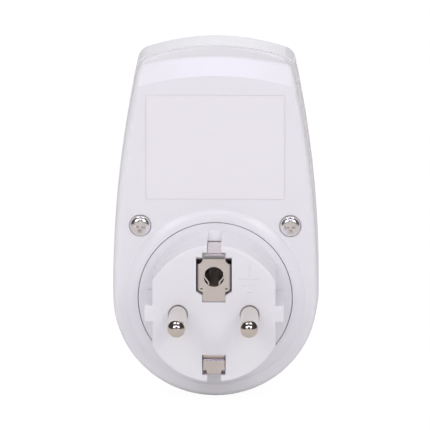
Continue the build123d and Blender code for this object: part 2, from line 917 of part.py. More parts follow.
with BuildPart() as contact_insulator:
    with BuildSketch(at_depth(pin_head_end)):
        with Locations((pin_place, 0)):
            Circle(pin_head_radius)
            Circle(rivet_radius, mode=Mode.SUBTRACT)
    extrude(amount=contact_thickness + rivet_stand)
    with BuildSketch(at_depth(pin_head_end + contact_thickness + rivet_stand)):
        with Locations((pin_place, 0)):
            Circle(pin_head_radius)
    extrude(amount=insulator_thickness - contact_thickness - rivet_stand)
    with BuildSketch(at_depth(pin_head_end + insulator_thickness)):
        with Locations((pin_place, 0)):
            Circle(rivet_radius)
    extrude(amount=contact_thickness + rivet_stand)
finish(contact_insulator, "contact_insulator")

# Triac, flat on a channel-shaped heat sink between a board screw and the axial parts
board_post_edge = 3.2
axial_edge = 5.4
resistor_span = 9.4
sink_post_gap = 2.7
sink_axial_gap = 1.8
sink_low = 44.2
sink_height = 15.4
sink_base = 1.5
sink_fin = 1.2
sink_fin_height = 6.5
triac_width = 10.2
triac_body_height = 9.0
triac_body_thickness = 4.4
triac_tab_thickness = 1.3
triac_total_height = 15.0
triac_lead_pitch = 2.54
triac_lead_width = 0.8
triac_lead_thickness = 0.5
triac_lead_drop = 1.2
triac_screw_radius = 1.5
triac_screw_head_radius = 2.7
triac_screw_head_height = 1.8
triac_hole_drop = 2.8
triac_nut_across = 5.5
triac_nut_thickness = 2.4

board_half_width = board_post_x + board_post_edge
axial_x = board_half_width - axial_edge
sink_left = sink_post_gap - board_post_x
sink_right = axial_x - resistor_span / 2 - sink_axial_gap
sink_width = sink_right - sink_left
sink_x = (sink_left + sink_right) / 2
sink_face = board_rear - sink_base
triac_low = sink_low + seat_gap
triac_top = triac_low + triac_total_height
triac_hole = (sink_x, triac_top - triac_hole_drop)
triac_lead_depth = sink_face - triac_body_thickness / 2
triac_screw_seat = sink_face - triac_tab_thickness
triac_lead_low = triac_low - triac_lead_drop
triac_lead_points = [
    (triac_lead_depth, triac_low),
    (triac_lead_depth, triac_lead_low),
    (board_rear, triac_lead_low),
    (board_rear, triac_lead_low + triac_lead_thickness),
    (triac_lead_depth + triac_lead_thickness, triac_lead_low + triac_lead_thickness),
    (triac_lead_depth + triac_lead_thickness, triac_low),
]

# Circuit board behind the control, seen from the back of the case
board_low = 23.8
board_high = 60.8
board_corner_cut = 3.0

with BuildPart() as circuit_board:
    with BuildSketch(at_depth(board_rear)) as board_shape:
        with Locations((0, (board_low + board_high) / 2)):
            Rectangle(2 * board_half_width, board_high - board_low)
        chamfer(board_shape.vertices().group_by(Axis.Y)[-1], length=board_corner_cut)
        with Locations(*board_post_places):
            Circle(board_pilot_radius + seat_gap, mode=Mode.SUBTRACT)
        with Locations(triac_hole):
            Circle(triac_screw_radius + seat_gap, mode=Mode.SUBTRACT)
    extrude(amount=board_thickness)
finish(circuit_board, "circuit_board")

board_screw_length = 6.5
board_screw_head_radius = 2.1
board_screw_head_height = 1.4

with BuildPart() as board_screws:
    with BuildSketch(at_depth(board_rear - board_screw_head_height)):
        with Locations(*board_post_places):
            Circle(board_screw_head_radius)
    extrude(amount=board_screw_head_height)
    with BuildSketch(at_depth(board_rear)):
        with Locations(*board_post_places):
            Circle(board_pilot_radius)
    extrude(amount=board_screw_length)
finish(board_screws, "board_screws")

# Wires, each in an upright plane along the pins
wire_radius = 0.85
wire_bend = 2.2
supply_wire_offset = 1.1
load_wire_offset = 1.9
supply_wire_rise = 10.0
load_wire_rise = 6.4
wire_run_depth = 25.6
wire_board_rise = 26.2

pin_head_mid = (pin_boss_end + pin_head_end) / 2
live_base_front = pin_head_end + insulator_thickness + contact_thickness
supply_points = [
    (pin_head_mid, pin_head_radius + seat_gap / 2),
    (pin_head_mid, supply_wire_rise),
    (wire_run_depth, supply_wire_rise),
    (wire_run_depth, wire_board_rise),
    (board_rear, wire_board_rise),
]
load_points = [
    (live_base_front, load_wire_rise),
    (wire_run_depth, load_wire_rise),
    (wire_run_depth, wire_board_rise),
    (board_rear, wire_board_rise),
]


def wire(x, points):
    """A round wire along the points of a side plane, with round bends."""
    with BuildPart() as lead:
        with BuildLine(side_plane(x)) as path:
            FilletPolyline(*side_points(points), radius=wire_bend)
        with BuildSketch(path.line ^ 0):
            Circle(wire_radius)
        sweep(path=path.line)
    return lead


supply_wire = wire(pin_place + supply_wire_offset, supply_points)
finish(supply_wire, "supply_wire")
load_wire = wire(pin_place - load_wire_offset, load_points)
finish(load_wire, "load_wire")
neutral_wire = wire(-pin_place - supply_wire_offset, supply_points)
finish(neutral_wire, "neutral_wire")

# Rotary control: a metal cup on a plate, with a threaded neck through the case
control_radius = 8.2
control_cup_wall = 0.8
control_plate_thickness = 1.2
control_cup_depth = 4.5
neck_length = 9.0
shaft_radius = 3.0
shaft_flat = 0.8
shaft_flat_length = 6.5
wiper_radius = 6.4
wiper_thickness = 0.8
wiper_arm_width = 3.0
stop_peg_radius = 0.9
stop_peg_circle = 6.3

cup_back = board_front + control_plate_thickness
cup_front = cup_back + control_cup_depth
neck_end = cup_front + neck_length
wiper_back = cup_back + moving_gap

with BuildPart() as control_plate:
    with BuildSketch(at_depth(board_front)):
        with Locations((0, knob_rise)):
            Circle(control_radius)
    extrude(amount=control_plate_thickness)
finish(control_plate, "control_plate")

with BuildPart() as control_cup:
    with BuildSketch(at_depth(cup_back)):
        with Locations((0, knob_rise)):
            Circle(control_radius)
    extrude(amount=control_cup_depth)
    with BuildSketch(at_depth(cup_front)):
        with Locations((0, knob_rise)):
            Circle(bushing_radius)
    extrude(amount=neck_length)
    with BuildSketch(at_depth(cup_back)):
        with Locations((0, knob_rise)):
            Circle(control_radius - control_cup_wall)
    extrude(amount=control_cup_depth - control_cup_wall, mode=Mode.SUBTRACT)
    # peg between the two ends of the wiper's travel
    with BuildSketch(at_depth(cup_back)):
        with Locations((0, knob_rise - stop_peg_circle)):
            Circle(stop_peg_radius)
    extrude(amount=control_cup_depth - control_cup_wall)
    with BuildSketch(at_depth(cup_back)):
        with Locations((0, knob_rise)):
            Circle(shaft_radius + running_gap)
    extrude(amount=neck_end - cup_back, mode=Mode.SUBTRACT)
finish(control_cup, "control_cup")

# Knob: a fluted cup with a hub that grips the flat of the shaft
knob_wall = 1.8
knob_top_wall = 3.0
knob_top_round = 1.4
knob_taper = 2.0
hub_radius = 5.2
flute_count = 24
flute_radius = 0.9
flute_inset = 0.45
flute_end = 2.2
pointer_width = 1.6
pointer_length = 8.5
pointer_depth = 0.5

knob_back = well_floor + moving_gap
knob_front = knob_back + knob_length
hub_back = neck_end + 2 * moving_gap
shaft_end = knob_front - knob_top_wall
shaft_flat_start = shaft_end - shaft_flat_length
pointer_circle = knob_radius - knob_top_round - pointer_length / 2

with BuildPart() as control_shaft:
    with BuildSketch(at_depth(wiper_back)):
        with Locations((0, knob_rise)):
            Circle(shaft_radius)
    extrude(amount=shaft_end - wiper_back)
    with BuildSketch(at_depth(shaft_flat_start)):
        with Locations((0, knob_rise + shaft_radius)):
            Rectangle(2 * shaft_radius, 2 * shaft_flat)
    extrude(amount=shaft_flat_length, mode=Mode.SUBTRACT)
finish(control_shaft, "control_shaft")

with BuildPart() as control_wiper:
    with BuildSketch(at_depth(wiper_back)):
        with Locations((0, knob_rise)):
            Circle(shaft_radius + wiper_thickness)
            with PolarLocations(wiper_radius / 2, 1, rest_direction):
                Rectangle(wiper_radius, wiper_arm_width)
        with Locations((0, knob_rise)):
            Circle(shaft_radius, mode=Mode.SUBTRACT)
    extrude(amount=wiper_thickness)
finish(control_wiper, "control_wiper")

nut_across_flats = 10.0
nut_thickness = 2.0
washer_radius = 6.0
washer_thickness = 0.5

with BuildPart() as control_washer:
    with BuildSketch(at_depth(well_floor)):
        with Locations((0, knob_rise)):
            Circle(washer_radius)
            Circle(bushing_radius + seat_gap, mode=Mode.SUBTRACT)
    extrude(amount=washer_thickness)
finish(control_washer, "control_washer")

with BuildPart() as control_nut:
    with BuildSketch(at_depth(well_floor + washer_thickness)):
        with Locations((0, knob_rise)):
            RegularPolygon(radius=nut_across_flats / 2, side_count=6, major_radius=False)
            Circle(bushing_radius, mode=Mode.SUBTRACT)
    extrude(amount=nut_thickness)
finish(control_nut, "control_nut")

with BuildPart() as dimmer_knob:
    with BuildSketch(at_depth(knob_back)):
        with Locations((0, knob_rise)):
            Circle(knob_radius)
    extrude(amount=knob_length, taper=knob_taper)
    fillet(dimmer_knob.edges().group_by(Axis.Y)[0], radius=knob_top_round)
    # finger flutes round the rim
    with BuildSketch(at_depth(knob_back + flute_end)):
        with Locations((0, knob_rise)):
            with PolarLocations(knob_radius + flute_inset, flute_count):
                Circle(flute_radius)
    extrude(amount=knob_length, mode=Mode.SUBTRACT)
    # hollow, then the hub with its flatted hole
    with BuildSketch(at_depth(knob_back)):
        with Locations((0, knob_rise)):
            Circle(knob_radius - knob_wall)
    extrude(amount=knob_length - knob_top_wall, mode=Mode.SUBTRACT)
    with BuildSketch(at_depth(hub_back)):
        with Locations((0, knob_rise)):
            Circle(hub_radius)
    extrude(amount=shaft_end - hub_back)
    with BuildSketch(at_depth(hub_back)):
        with Locations((0, knob_rise)):
            Circle(shaft_radius)
        with Locations((0, knob_rise + shaft_radius)):
            Rectangle(2 * shaft_radius, 2 * shaft_flat, mode=Mode.SUBTRACT)
    extrude(amount=shaft_end - hub_back, mode=Mode.SUBTRACT)
    # pointer groove on the face, shown at the off stop
    with BuildSketch(at_depth(knob_front - pointer_depth)):
        with Locations((0, knob_rise)):
            with PolarLocations(pointer_circle, 1, rest_direction):
                SlotOverall(pointer_length, pointer_width)
    extrude(amount=pointer_depth, mode=Mode.SUBTRACT)
finish(dimmer_knob, "dimmer_knob")

# Parts of the dimming circuit on the back of the board
filter_length = 15.5
filter_width = 6.2
filter_height = 9.0
filter_round = 0.6
filter_place = (-8.0, 32.45)

with BuildPart() as filter_capacitor:
    with BuildSketch(at_depth(board_rear - filter_height)):
        with Locations(filter_place):
            RectangleRounded(filter_length, filter_width, radius=filter_round)
    extrude(amount=filter_height)
finish(filter_capacitor, "filter_capacitor")

choke_flange_radius = 6.2
choke_flange_thickness = 1.2
choke_core_radius = 3.2
choke_winding_radius = 5.5
choke_height = 9.0
choke_place = (9.3, 34.4)

with BuildPart() as choke_core:
    with BuildSketch(at_depth(board_rear - choke_height)):
        with Locations(choke_place):
            Circle(choke_core_radius)
    extrude(amount=choke_height)
    for depth in (board_rear - choke_height, board_rear - choke_flange_thickness):
        with BuildSketch(at_depth(depth)):
            with Locations(choke_place):
                Circle(choke_flange_radius)
        extrude(amount=choke_flange_thickness)
finish(choke_core, "choke_core")

with BuildPart() as choke_winding:
    with BuildSketch(at_depth(board_rear - choke_height + choke_flange_thickness)):
        with Locations(choke_place):
            Circle(choke_winding_radius)
            Circle(choke_core_radius, mode=Mode.SUBTRACT)
    extrude(amount=choke_height - 2 * choke_flange_thickness)
finish(choke_winding, "choke_winding")

with BuildPart() as heat_sink:
    with BuildSketch(Plane.XY.offset(sink_low)):
        with Locations((sink_x, -board_rear + sink_base / 2)):
            Rectangle(sink_width, sink_base)
        with Locations(
            (sink_x - (sink_width - sink_fin) / 2, -board_rear + sink_fin_height / 2),
            (sink_x + (sink_width - sink_fin) / 2, -board_rear + sink_fin_height / 2),
        ):
            Rectangle(sink_fin, sink_fin_height)
    extrude(amount=sink_height)
    with BuildSketch(at_depth(sink_face)):
        with Locations(triac_hole):
            Circle(triac_screw_radius)
    extrude(amount=sink_base, mode=Mode.SUBTRACT)
finish(heat_sink, "heat_sink")

with BuildPart() as triac:
    with BuildSketch(at_depth(triac_screw_seat)):
        with Locations((sink_x, (triac_low + triac_top) / 2)):
            Rectangle(triac_width, triac_total_height)
        with Locations(triac_hole):
            Circle(triac_screw_radius, mode=Mode.SUBTRACT)
    extrude(amount=triac_tab_thickness)
    with BuildSketch(at_depth(sink_face - triac_body_thickness)):
        with Locations((sink_x, triac_low + triac_body_height / 2)):
            Rectangle(triac_width, triac_body_height)
    extrude(amount=triac_body_thickness - triac_tab_thickness)
    # three leads bent down to the board
    for place in (-triac_lead_pitch, 0, triac_lead_pitch):
        with BuildSketch(side_plane(sink_x + place)):
            with BuildLine():
                Polyline(*side_points(triac_lead_points), close=True)
            make_face()
        extrude(amount=triac_lead_width / 2, both=True)
finish(triac, "triac")

with BuildPart() as triac_screw:
    with BuildSketch(at_depth(triac_screw_seat - triac_screw_head_height)):
        with Locations(triac_hole):
            Circle(triac_screw_head_radius)
    extrude(amount=triac_screw_head_height)
    with BuildSketch(at_depth(triac_screw_seat)):
        with Locations(triac_hole):
            Circle(triac_screw_radius)
    extrude(amount=board_front + triac_nut_thickness + seat_gap - triac_screw_seat)
finish(triac_screw, "triac_screw")

with BuildPart() as triac_nut:
    with BuildSketch(at_depth(board_front)):
        with Locations(triac_hole):
            RegularPolygon(radius=triac_nut_across / 2, side_count=6, major_radius=False)
            Circle(triac_screw_radius, mode=Mode.SUBTRACT)
    extrude(amount=triac_nut_thickness)
finish(triac_nut, "triac_nut")

timing_length = 7.2
timing_width = 2.6
timing_height = 6.5
timing_edge = 5.2
timing_place = (board_half_width - timing_edge, 43.6)

with BuildPart() as timing_capacitor:
    with BuildSketch(at_depth(board_rear - timing_height)):
        with Locations(timing_place):
            RectangleRounded(timing_length, timing_width, radius=filter_round)
    extrude(amount=timing_height)
finish(timing_capacitor, "timing_capacitor")

# Axial parts lie on the board between two bent leads
axial_stand = 1.6
diac_rise = 47.2
diac_radius = 0.95
diac_length = 4.0
diac_span = 7.5
resistor_rises = (50.4, 53.6)
resistor_radius = 1.15
resistor_length = 6.3
lead_radius = 0.3


def axial_part(rise, radius, length, span):
    """A round body along X with its two leads bent down to the board."""
    middle = board_rear - axial_stand
    with BuildPart() as axial:
        with BuildLine(Plane.XY.offset(rise)) as lead:
            Polyline(
                (axial_x - span / 2, -board_rear),
                (axial_x - span / 2, -middle),
                (axial_x + span / 2, -middle),
                (axial_x + span / 2, -board_rear),
            )
        with BuildSketch(lead.line ^ 0):
            Circle(lead_radius)
        sweep(path=lead.line, transition=Transition.RIGHT)
        with BuildSketch(Plane.YZ.offset(axial_x - length / 2)):
            with Locations((-middle, rise)):
                Circle(radius)
        extrude(amount=length)
    return axial


diac = axial_part(diac_rise, diac_radius, diac_length, diac_span)
finish(diac, "diac")

resistor_bodies = [
    axial_part(rise, resistor_radius, resistor_length, resistor_span).part for rise in resistor_rises
]
with BuildPart() as resistors:
    for body in resistor_bodies:
        add(body)
finish(resistors, "resistors")

# Fuse in two clips
fuse_length = 20.0
fuse_cap_radius = 2.6
fuse_cap_length = 5.0
fuse_tube_radius = 2.3
fuse_clip_length = 4.0
fuse_clip_half_width = 3.2
fuse_clip_base = 1.0
fuse_clip_grip = 1.2
fuse_x = -7.0
fuse_gap = 0.15

fuse_rise = filter_place[1] + filter_width / 2 + fuse_gap + fuse_clip_half_width
fuse_depth = board_rear - fuse_clip_base - fuse_cap_radius
cap_centres = [
    fuse_x + side * (fuse_length - fuse_cap_length) / 2 for side in (-1, 1)
]

with BuildPart() as fuse_tube:
    with BuildSketch(Plane.YZ.offset(fuse_x)):
        with Locations((-fuse_depth, fuse_rise)):
            Circle(fuse_tube_radius)
    extrude(amount=fuse_length / 2 - fuse_cap_length, both=True)
finish(fuse_tube, "fuse_tube")

with BuildPart() as fuse_caps:
    for centre in cap_centres:
        with BuildSketch(Plane.YZ.offset(centre)):
            with Locations((-fuse_depth, fuse_rise)):
                Circle(fuse_cap_radius)
        extrude(amount=fuse_cap_length / 2, both=True)
finish(fuse_caps, "fuse_caps")

clip_height = board_rear - fuse_depth + fuse_clip_grip

with BuildPart() as fuse_clips:
    for centre in cap_centres:
        with BuildSketch(Plane.YZ.offset(centre)):
            with Locations((clip_height / 2 - board_rear, fuse_rise)):
                Rectangle(clip_height, 2 * fuse_clip_half_width)
            with Locations((-fuse_depth, fuse_rise)):
                Circle(fuse_cap_radius, mode=Mode.SUBTRACT)
        extrude(amount=fuse_clip_length / 2, both=True)
finish(fuse_clips, "fuse_clips")
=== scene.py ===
import json
import math

import bmesh
import bpy
from mathutils import Matrix, Vector


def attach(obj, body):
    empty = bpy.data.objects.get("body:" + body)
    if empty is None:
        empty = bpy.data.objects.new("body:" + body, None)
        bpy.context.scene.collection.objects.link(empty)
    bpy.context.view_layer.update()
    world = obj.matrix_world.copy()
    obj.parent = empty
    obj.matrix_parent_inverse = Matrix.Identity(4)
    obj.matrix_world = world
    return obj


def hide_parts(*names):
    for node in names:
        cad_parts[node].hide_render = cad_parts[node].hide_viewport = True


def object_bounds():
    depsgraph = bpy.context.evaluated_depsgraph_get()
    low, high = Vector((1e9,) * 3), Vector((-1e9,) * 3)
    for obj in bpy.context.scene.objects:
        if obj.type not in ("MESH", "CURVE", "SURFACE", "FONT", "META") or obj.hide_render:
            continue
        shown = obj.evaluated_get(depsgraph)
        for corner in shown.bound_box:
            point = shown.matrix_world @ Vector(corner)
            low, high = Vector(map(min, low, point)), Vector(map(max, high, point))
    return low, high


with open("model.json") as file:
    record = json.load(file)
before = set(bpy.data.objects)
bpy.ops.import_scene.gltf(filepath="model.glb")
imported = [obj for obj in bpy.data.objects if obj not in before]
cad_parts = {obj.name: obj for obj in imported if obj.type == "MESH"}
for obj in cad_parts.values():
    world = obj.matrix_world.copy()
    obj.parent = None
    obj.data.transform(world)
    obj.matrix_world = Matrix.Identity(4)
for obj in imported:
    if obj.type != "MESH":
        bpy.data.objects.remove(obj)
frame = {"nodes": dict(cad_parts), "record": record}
cad_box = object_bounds()
nodes = frame["nodes"]
scene = bpy.context.scene

# Sizes of the object's pieces are in millimetres, those of materials, the floor, the lamps and the camera
# are in metres, and angles are given in degrees
MM = 0.001

# Places that the solids have, where a depth counts from the plug's end face towards the knob
REAR_FACE = 20.7
FRONT_FACE = 48.0
SCREW_X = 20.1
SCREW_Z = 19.6
SCREW_SINK = 0.5
LABEL_WIDTH = 37.2
LABEL_HEIGHT = 28.4
LABEL_LOW = 26.8
LABEL_RECESS = 0.25
LABEL_CORNER = 0.5
KNOB_RISE = 45.0
KNOB_FACE = 59.0
KNOB_REST = 240.0
KNOB_TURN = 300.0
POINTER_CIRCLE = 7.85
POINTER_LENGTH = 8.5
POINTER_WIDTH = 1.6
POINTER_DEPTH = 0.5

# Case screws: a pan head from pairs of (radius, height), its crossed recess, and a threaded shank
HEAD_RADIUS = 2.8
HEAD_HEIGHT = 1.9
HEAD_SEGMENTS = 64
HEAD_PROFILE = [
    (0, HEAD_HEIGHT),
    (0.9, 1.88),
    (1.5, 1.8),
    (2.0, 1.63),
    (2.4, 1.35),
    (2.65, 1.0),
    (2.78, 0.6),
    (HEAD_RADIUS, 0.2),
    (2.74, 0.05),
    (2.6, 0),
    (0, 0),
]
RECESS_LENGTH = 3.5
RECESS_WIDTH = 1.0
RECESS_DEPTH = 1.35
RECESS_OVERRUN = 0.3
RECESS_TOP_SHARE = 1.05
RECESS_FLOOR_SHARE = 0.62
SHANK_RADIUS = 1.45
SHANK_LENGTH = 16.0
THREAD_PITCH = 1.25
THREAD_ROOT = 1.1
THREAD_START = 1.6
THREAD_SEGMENTS = 40
THREAD_ROWS = 96
TIP_SHARE = 0.45
LEFT_RECESS_TURN = 4
RIGHT_RECESS_TURN = -7
SHARP_EDGE = 38

# Label plate, which lies in its field with a small gap round it
LABEL_GAP = 0.12
LABEL_THICKNESS = 0.13

# Raised earth sign beside the earth plate: a stem and three bars, given as (half length, rise), which all
# have sides that slope up to a ridge
SIGN_X = -9.4
SIGN_BAR = 0.5
SIGN_RIDGE = 0.1
SIGN_HEIGHT = 0.14
SIGN_STEM_TOP = 13.3
SIGN_STEM_END = 9.9
SIGN_BARS = [(2.5, 9.8), (1.4, 8.0), (0.5, 6.2)]

# Printed wedge round the knob, which widens from dim to bright, and the pointer's paint
WEDGE_RADIUS = 16.0
WEDGE_THIN = 0.25
WEDGE_WIDE = 1.7
WEDGE_STEPS = 72
PRINT_HEIGHT = 0.03
PAINT_GAP = 0.06
PAINT_HEIGHT = 0.06

# Corners of a square in order round it
CORNERS = [(1, 1), (-1, 1), (-1, -1), (1, -1)]


# Node helpers
def node_input(node, name, value):
    node.inputs[name].default_value = value


def moved_range(tree, source, low, high, first, last):
    """The source, with its range from low to high moved to one from first to last."""
    limits = tree.nodes.new("ShaderNodeMapRange")
    for name, value in (("From Min", low), ("From Max", high), ("To Min", first), ("To Max", last)):
        node_input(limits, name, value)
    tree.links.new(source, limits.inputs["Value"])
    return limits.outputs["Result"]


def colour_mix(tree, factor, first, second):
    """A colour between two, by a factor."""
    mix = tree.nodes.new("ShaderNodeMix")
    mix.data_type = "RGBA"
    mix.inputs["A"].default_value = first
    mix.inputs["B"].default_value = second
    tree.links.new(factor, mix.inputs["Factor"])
    return mix.outputs["Result"]


def shader_mix(tree, factor, first, second):
    """A shader between two, by a factor."""
    mix = tree.nodes.new("ShaderNodeMixShader")
    tree.links.new(factor, mix.inputs["Fac"])
    tree.links.new(first, mix.inputs[1])
    tree.links.new(second, mix.inputs[2])
    return mix.outputs["Shader"]


def new_material(name):
    """A material with nodes, and its main shader."""
    material = bpy.data.materials.new(name)
    material.use_nodes = True
    return material, material.node_tree.nodes["Principled BSDF"]


# Materials
NOISE_LOW = 0.3
NOISE_HIGH = 0.7
COLOUR_DETAIL = 3.0
GLOSS_DETAIL = 4.0
GLOSS_FINENESS = 3
RELIEF_DETAIL = 2.0
RELIEF_DEPTH = 0.00005
COAT_ROUGHNESS = 0.05
SCATTER_DEPTH = 0.0015
SCATTER_COLOUR = (1.0, 0.9, 0.8)


def surface(
    name,
    colour,
    roughness,
    metallic=0.0,
    variation=0.02,
    variation_scale=90.0,
    bump=0.04,
    bump_scale=1400.0,
    roughness_spread=0.15,
    coat=0.0,
    specular=0.5,
    subsurface=0.0,
    stretch=(1.0, 1.0, 1.0),
):
    """A surface whose colour, gloss and relief vary a little from place to place."""
    material, shader = new_material(name)
    tree = material.node_tree
    node_input(shader, "Metallic", metallic)
    node_input(shader, "Coat Weight", coat)
    node_input(shader, "Coat Roughness", COAT_ROUGHNESS)
    node_input(shader, "Specular IOR Level", specular)
    if subsurface:
        node_input(shader, "Subsurface Weight", subsurface)
        node_input(shader, "Subsurface Scale", SCATTER_DEPTH)
        node_input(shader, "Subsurface Radius", SCATTER_COLOUR)
    coordinates = tree.nodes.new("ShaderNodeTexCoord")
    mapping = tree.nodes.new("ShaderNodeMapping")
    node_input(mapping, "Scale", stretch)
    tree.links.new(coordinates.outputs["Object"], mapping.inputs["Vector"])

    def noise(scale, detail):
        texture = tree.nodes.new("ShaderNodeTexNoise")
        node_input(texture, "Scale", scale)
        node_input(texture, "Detail", detail)
        tree.links.new(mapping.outputs["Vector"], texture.inputs["Vector"])
        return texture.outputs["Fac"]

    darker = [channel * (1 - variation) for channel in colour] + [1.0]
    lighter = [min(1.0, channel * (1 + variation)) for channel in colour] + [1.0]
    patches = moved_range(tree, noise(variation_scale, COLOUR_DETAIL), NOISE_LOW, NOISE_HIGH, 0.0, 1.0)
    tree.links.new(colour_mix(tree, patches, darker, lighter), shader.inputs["Base Color"])
    low = roughness * (1 - roughness_spread)
    high = roughness * (1 + roughness_spread)
    gloss_noise = noise(variation_scale * GLOSS_FINENESS, GLOSS_DETAIL)
    gloss = moved_range(tree, gloss_noise, NOISE_LOW, NOISE_HIGH, low, high)
    tree.links.new(gloss, shader.inputs["Roughness"])
    relief = tree.nodes.new("ShaderNodeBump")
    node_input(relief, "Strength", bump)
    node_input(relief, "Distance", RELIEF_DEPTH)
    tree.links.new(noise(bump_scale, RELIEF_DETAIL), relief.inputs["Height"])
    tree.links.new(relief.outputs["Normal"], shader.inputs["Normal"])
    return material


def metal(name, colour, roughness, **settings):
    """A metal surface."""
    return surface(name, colour, roughness, metallic=1.0, **settings)


def glass(name, colour, roughness, transmission):
    """Clear glass."""
    material, shader = new_material(name)
    node_input(shader, "Base Color", (*colour, 1.0))
    node_input(shader, "Roughness", roughness)
    node_input(shader, "Transmission Weight", transmission)
    return material


def srgb(*levels):
    """The linear colour of an 8-bit display colour, by the sRGB standard's formula."""
    def linear(level):
        share = level / 255
        return share / 12.92 if share <= 0.04045 else ((share + 0.055) / 1.055) ** 2.4
    return tuple(linear(level) for level in levels)


# How fine the noise is along X, Y and Z where a surface has a grain
PIN_GRAIN = (1.0, 0.15, 1.0)
WINDING_GRAIN = (0.05, 1.0, 0.05)
EXTRUSION_GRAIN = (1.0, 1.0, 0.05)
BOARD_GRAIN = (1.0, 1.0, 6.0)

finishes = {
    "case": surface(
        "case_abs", srgb(237, 235, 239), 0.2, variation=0.006, bump=0.03, specular=0.45, subsurface=0.06
    ),
    "knob": surface("knob_abs", srgb(233, 233, 240), 0.2, variation=0.01, bump=0.05, subsurface=0.06),
    "pin": metal(
        "pin_nickel", srgb(234, 228, 220), 0.16, bump=0.05, bump_scale=900.0, stretch=PIN_GRAIN
    ),
    "earth_metal": metal(
        "earth_nickel", srgb(240, 234, 230), 0.24, variation=0.05, bump=0.1, bump_scale=700.0
    ),
    "screw": metal("zinc", srgb(243, 241, 240), 0.22, variation=0.03, bump=0.08),
    "spring": metal("spring_steel", srgb(170, 170, 172), 0.3),
    "contact": metal("contact_brass", srgb(212, 176, 112), 0.3, variation=0.06),
    "insulator": surface("pressed_board", srgb(172, 140, 104), 0.7, variation=0.08, bump=0.2),
    "board": surface(
        "circuit_board", srgb(188, 160, 108), 0.55, variation=0.05, bump=0.1, stretch=BOARD_GRAIN
    ),
    "supply_insulation": surface("wire_brown", srgb(110, 66, 38), 0.4, bump=0.08),
    "load_insulation": surface("wire_black", srgb(38, 38, 38), 0.4, bump=0.08),
    "neutral_insulation": surface("wire_blue", srgb(48, 84, 160), 0.4, bump=0.08),
    "control_metal": metal("control_nickel", srgb(196, 196, 198), 0.3, variation=0.04),
    "shaft": surface("shaft_nylon", srgb(228, 228, 222), 0.4, subsurface=0.05),
    "capacitor": surface("capacitor_yellow", srgb(214, 182, 66), 0.35, variation=0.03),
    "small_capacitor": surface("capacitor_red", srgb(170, 60, 44), 0.3, variation=0.04),
    "ferrite": surface("ferrite", srgb(66, 66, 70), 0.65, variation=0.1, bump=0.3),
    "winding": metal(
        "enamelled_copper", srgb(176, 100, 52), 0.3, bump=0.6, bump_scale=300.0, stretch=WINDING_GRAIN
    ),
    "heat_sink": metal("drawn_aluminium", srgb(205, 206, 210), 0.38, bump=0.15, stretch=EXTRUSION_GRAIN),
    "black_component": surface("moulded_epoxy", srgb(44, 44, 46), 0.5, bump=0.15),
    "diac_glass": surface("diac_glass", srgb(70, 96, 150), 0.15, coat=0.5),
    "resistor": surface("resistor_lacquer", srgb(212, 190, 150), 0.3, variation=0.04),
    "fuse_metal": metal("fuse_nickel", srgb(208, 206, 202), 0.22),
    "fuse_glass": glass("fuse_glass", srgb(236, 242, 240), 0.03, 0.9),
    "label": surface(
        "label_film", srgb(239, 236, 239), 0.3, variation=0.002, bump=0.0, roughness_spread=0.02
    ),
    "print": surface("scale_print", srgb(96, 98, 104), 0.4, variation=0.03, bump=0.02),
}

for part in frame["record"]["subparts"]:
    mesh = nodes[part["node"]].data
    mesh.materials.clear()
    mesh.materials.append(finishes[part["material_slot"]])


# Mesh helpers
def finished(name, shape):
    """The mesh of a shape that is complete."""
    mesh = bpy.data.meshes.new(name)
    shape.to_mesh(mesh)
    shape.free()
    return mesh


def skinned(name, rings):
    """A closed mesh through rings of points in millimetres, where a ring of one point is a tip."""
    shape = bmesh.new()
    loops = [[shape.verts.new([value * MM for value in point]) for point in ring] for ring in rings]
    for first, second in zip(loops, loops[1:]):
        count = max(len(first), len(second))
        for step in range(count):
            following = (step + 1) % count
            if len(first) == 1:
                shape.faces.new((first[0], second[step], second[following]))
            elif len(second) == 1:
                shape.faces.new((first[step], second[0], first[following]))
            else:
                shape.faces.new((first[step], second[step], second[following], first[following]))
    for end in (loops[0], loops[-1]):
        if len(end) > 1:
            shape.faces.new(end)
    bmesh.ops.recalc_face_normals(shape, faces=shape.faces)
    return finished(name, shape)


def joined(meshes):
    """One mesh of several."""
    shape = bmesh.new()
    for mesh in meshes:
        shape.from_mesh(mesh)
    return finished("joined", shape)


def carved(mesh, cutters):
    """The mesh less the cutters' meshes."""
    block = bpy.data.objects.new("block", mesh)
    scene.collection.objects.link(block)
    tools = []
    for cutter in cutters:
        tool = bpy.data.objects.new("tool", cutter)
        scene.collection.objects.link(tool)
        cut = block.modifiers.new("cut", "BOOLEAN")
        cut.operation = "DIFFERENCE"
        cut.solver = "EXACT"
        cut.object = tool
        tools.append(tool)
    bpy.context.view_layer.update()
    evaluated = block.evaluated_get(bpy.context.evaluated_depsgraph_get())
    result = bpy.data.meshes.new_from_object(evaluated)
    for piece in tools + [block]:
        bpy.data.objects.remove(piece)
    return result


def around(radius, y, turn):
    """A point round the Y axis, at a share of a turn."""
    angle = 2 * math.pi * turn
    return (radius * math.cos(angle), y, radius * math.sin(angle))


def turned(profile, segments):
    """A mesh turned about the Y axis from pairs of (radius, y)."""
    rings = []
    for radius, y in profile:
        turns = [step / segments for step in range(segments)] if radius else [0]
        rings.append([around(radius, y, turn) for turn in turns])
    return skinned("turned", rings)


def slab(outline, depth, height, face_outline=None):
    """A plate with its back at a depth, from an outline of (x, z) pairs, and raised towards +Y.

    Where the face has its own outline, of as many points, the sides slope.
    """
    back = [(x, -depth, z) for x, z in outline]
    face = [(x, height - depth, z) for x, z in face_outline or outline]
    return skinned("slab", [back, face])


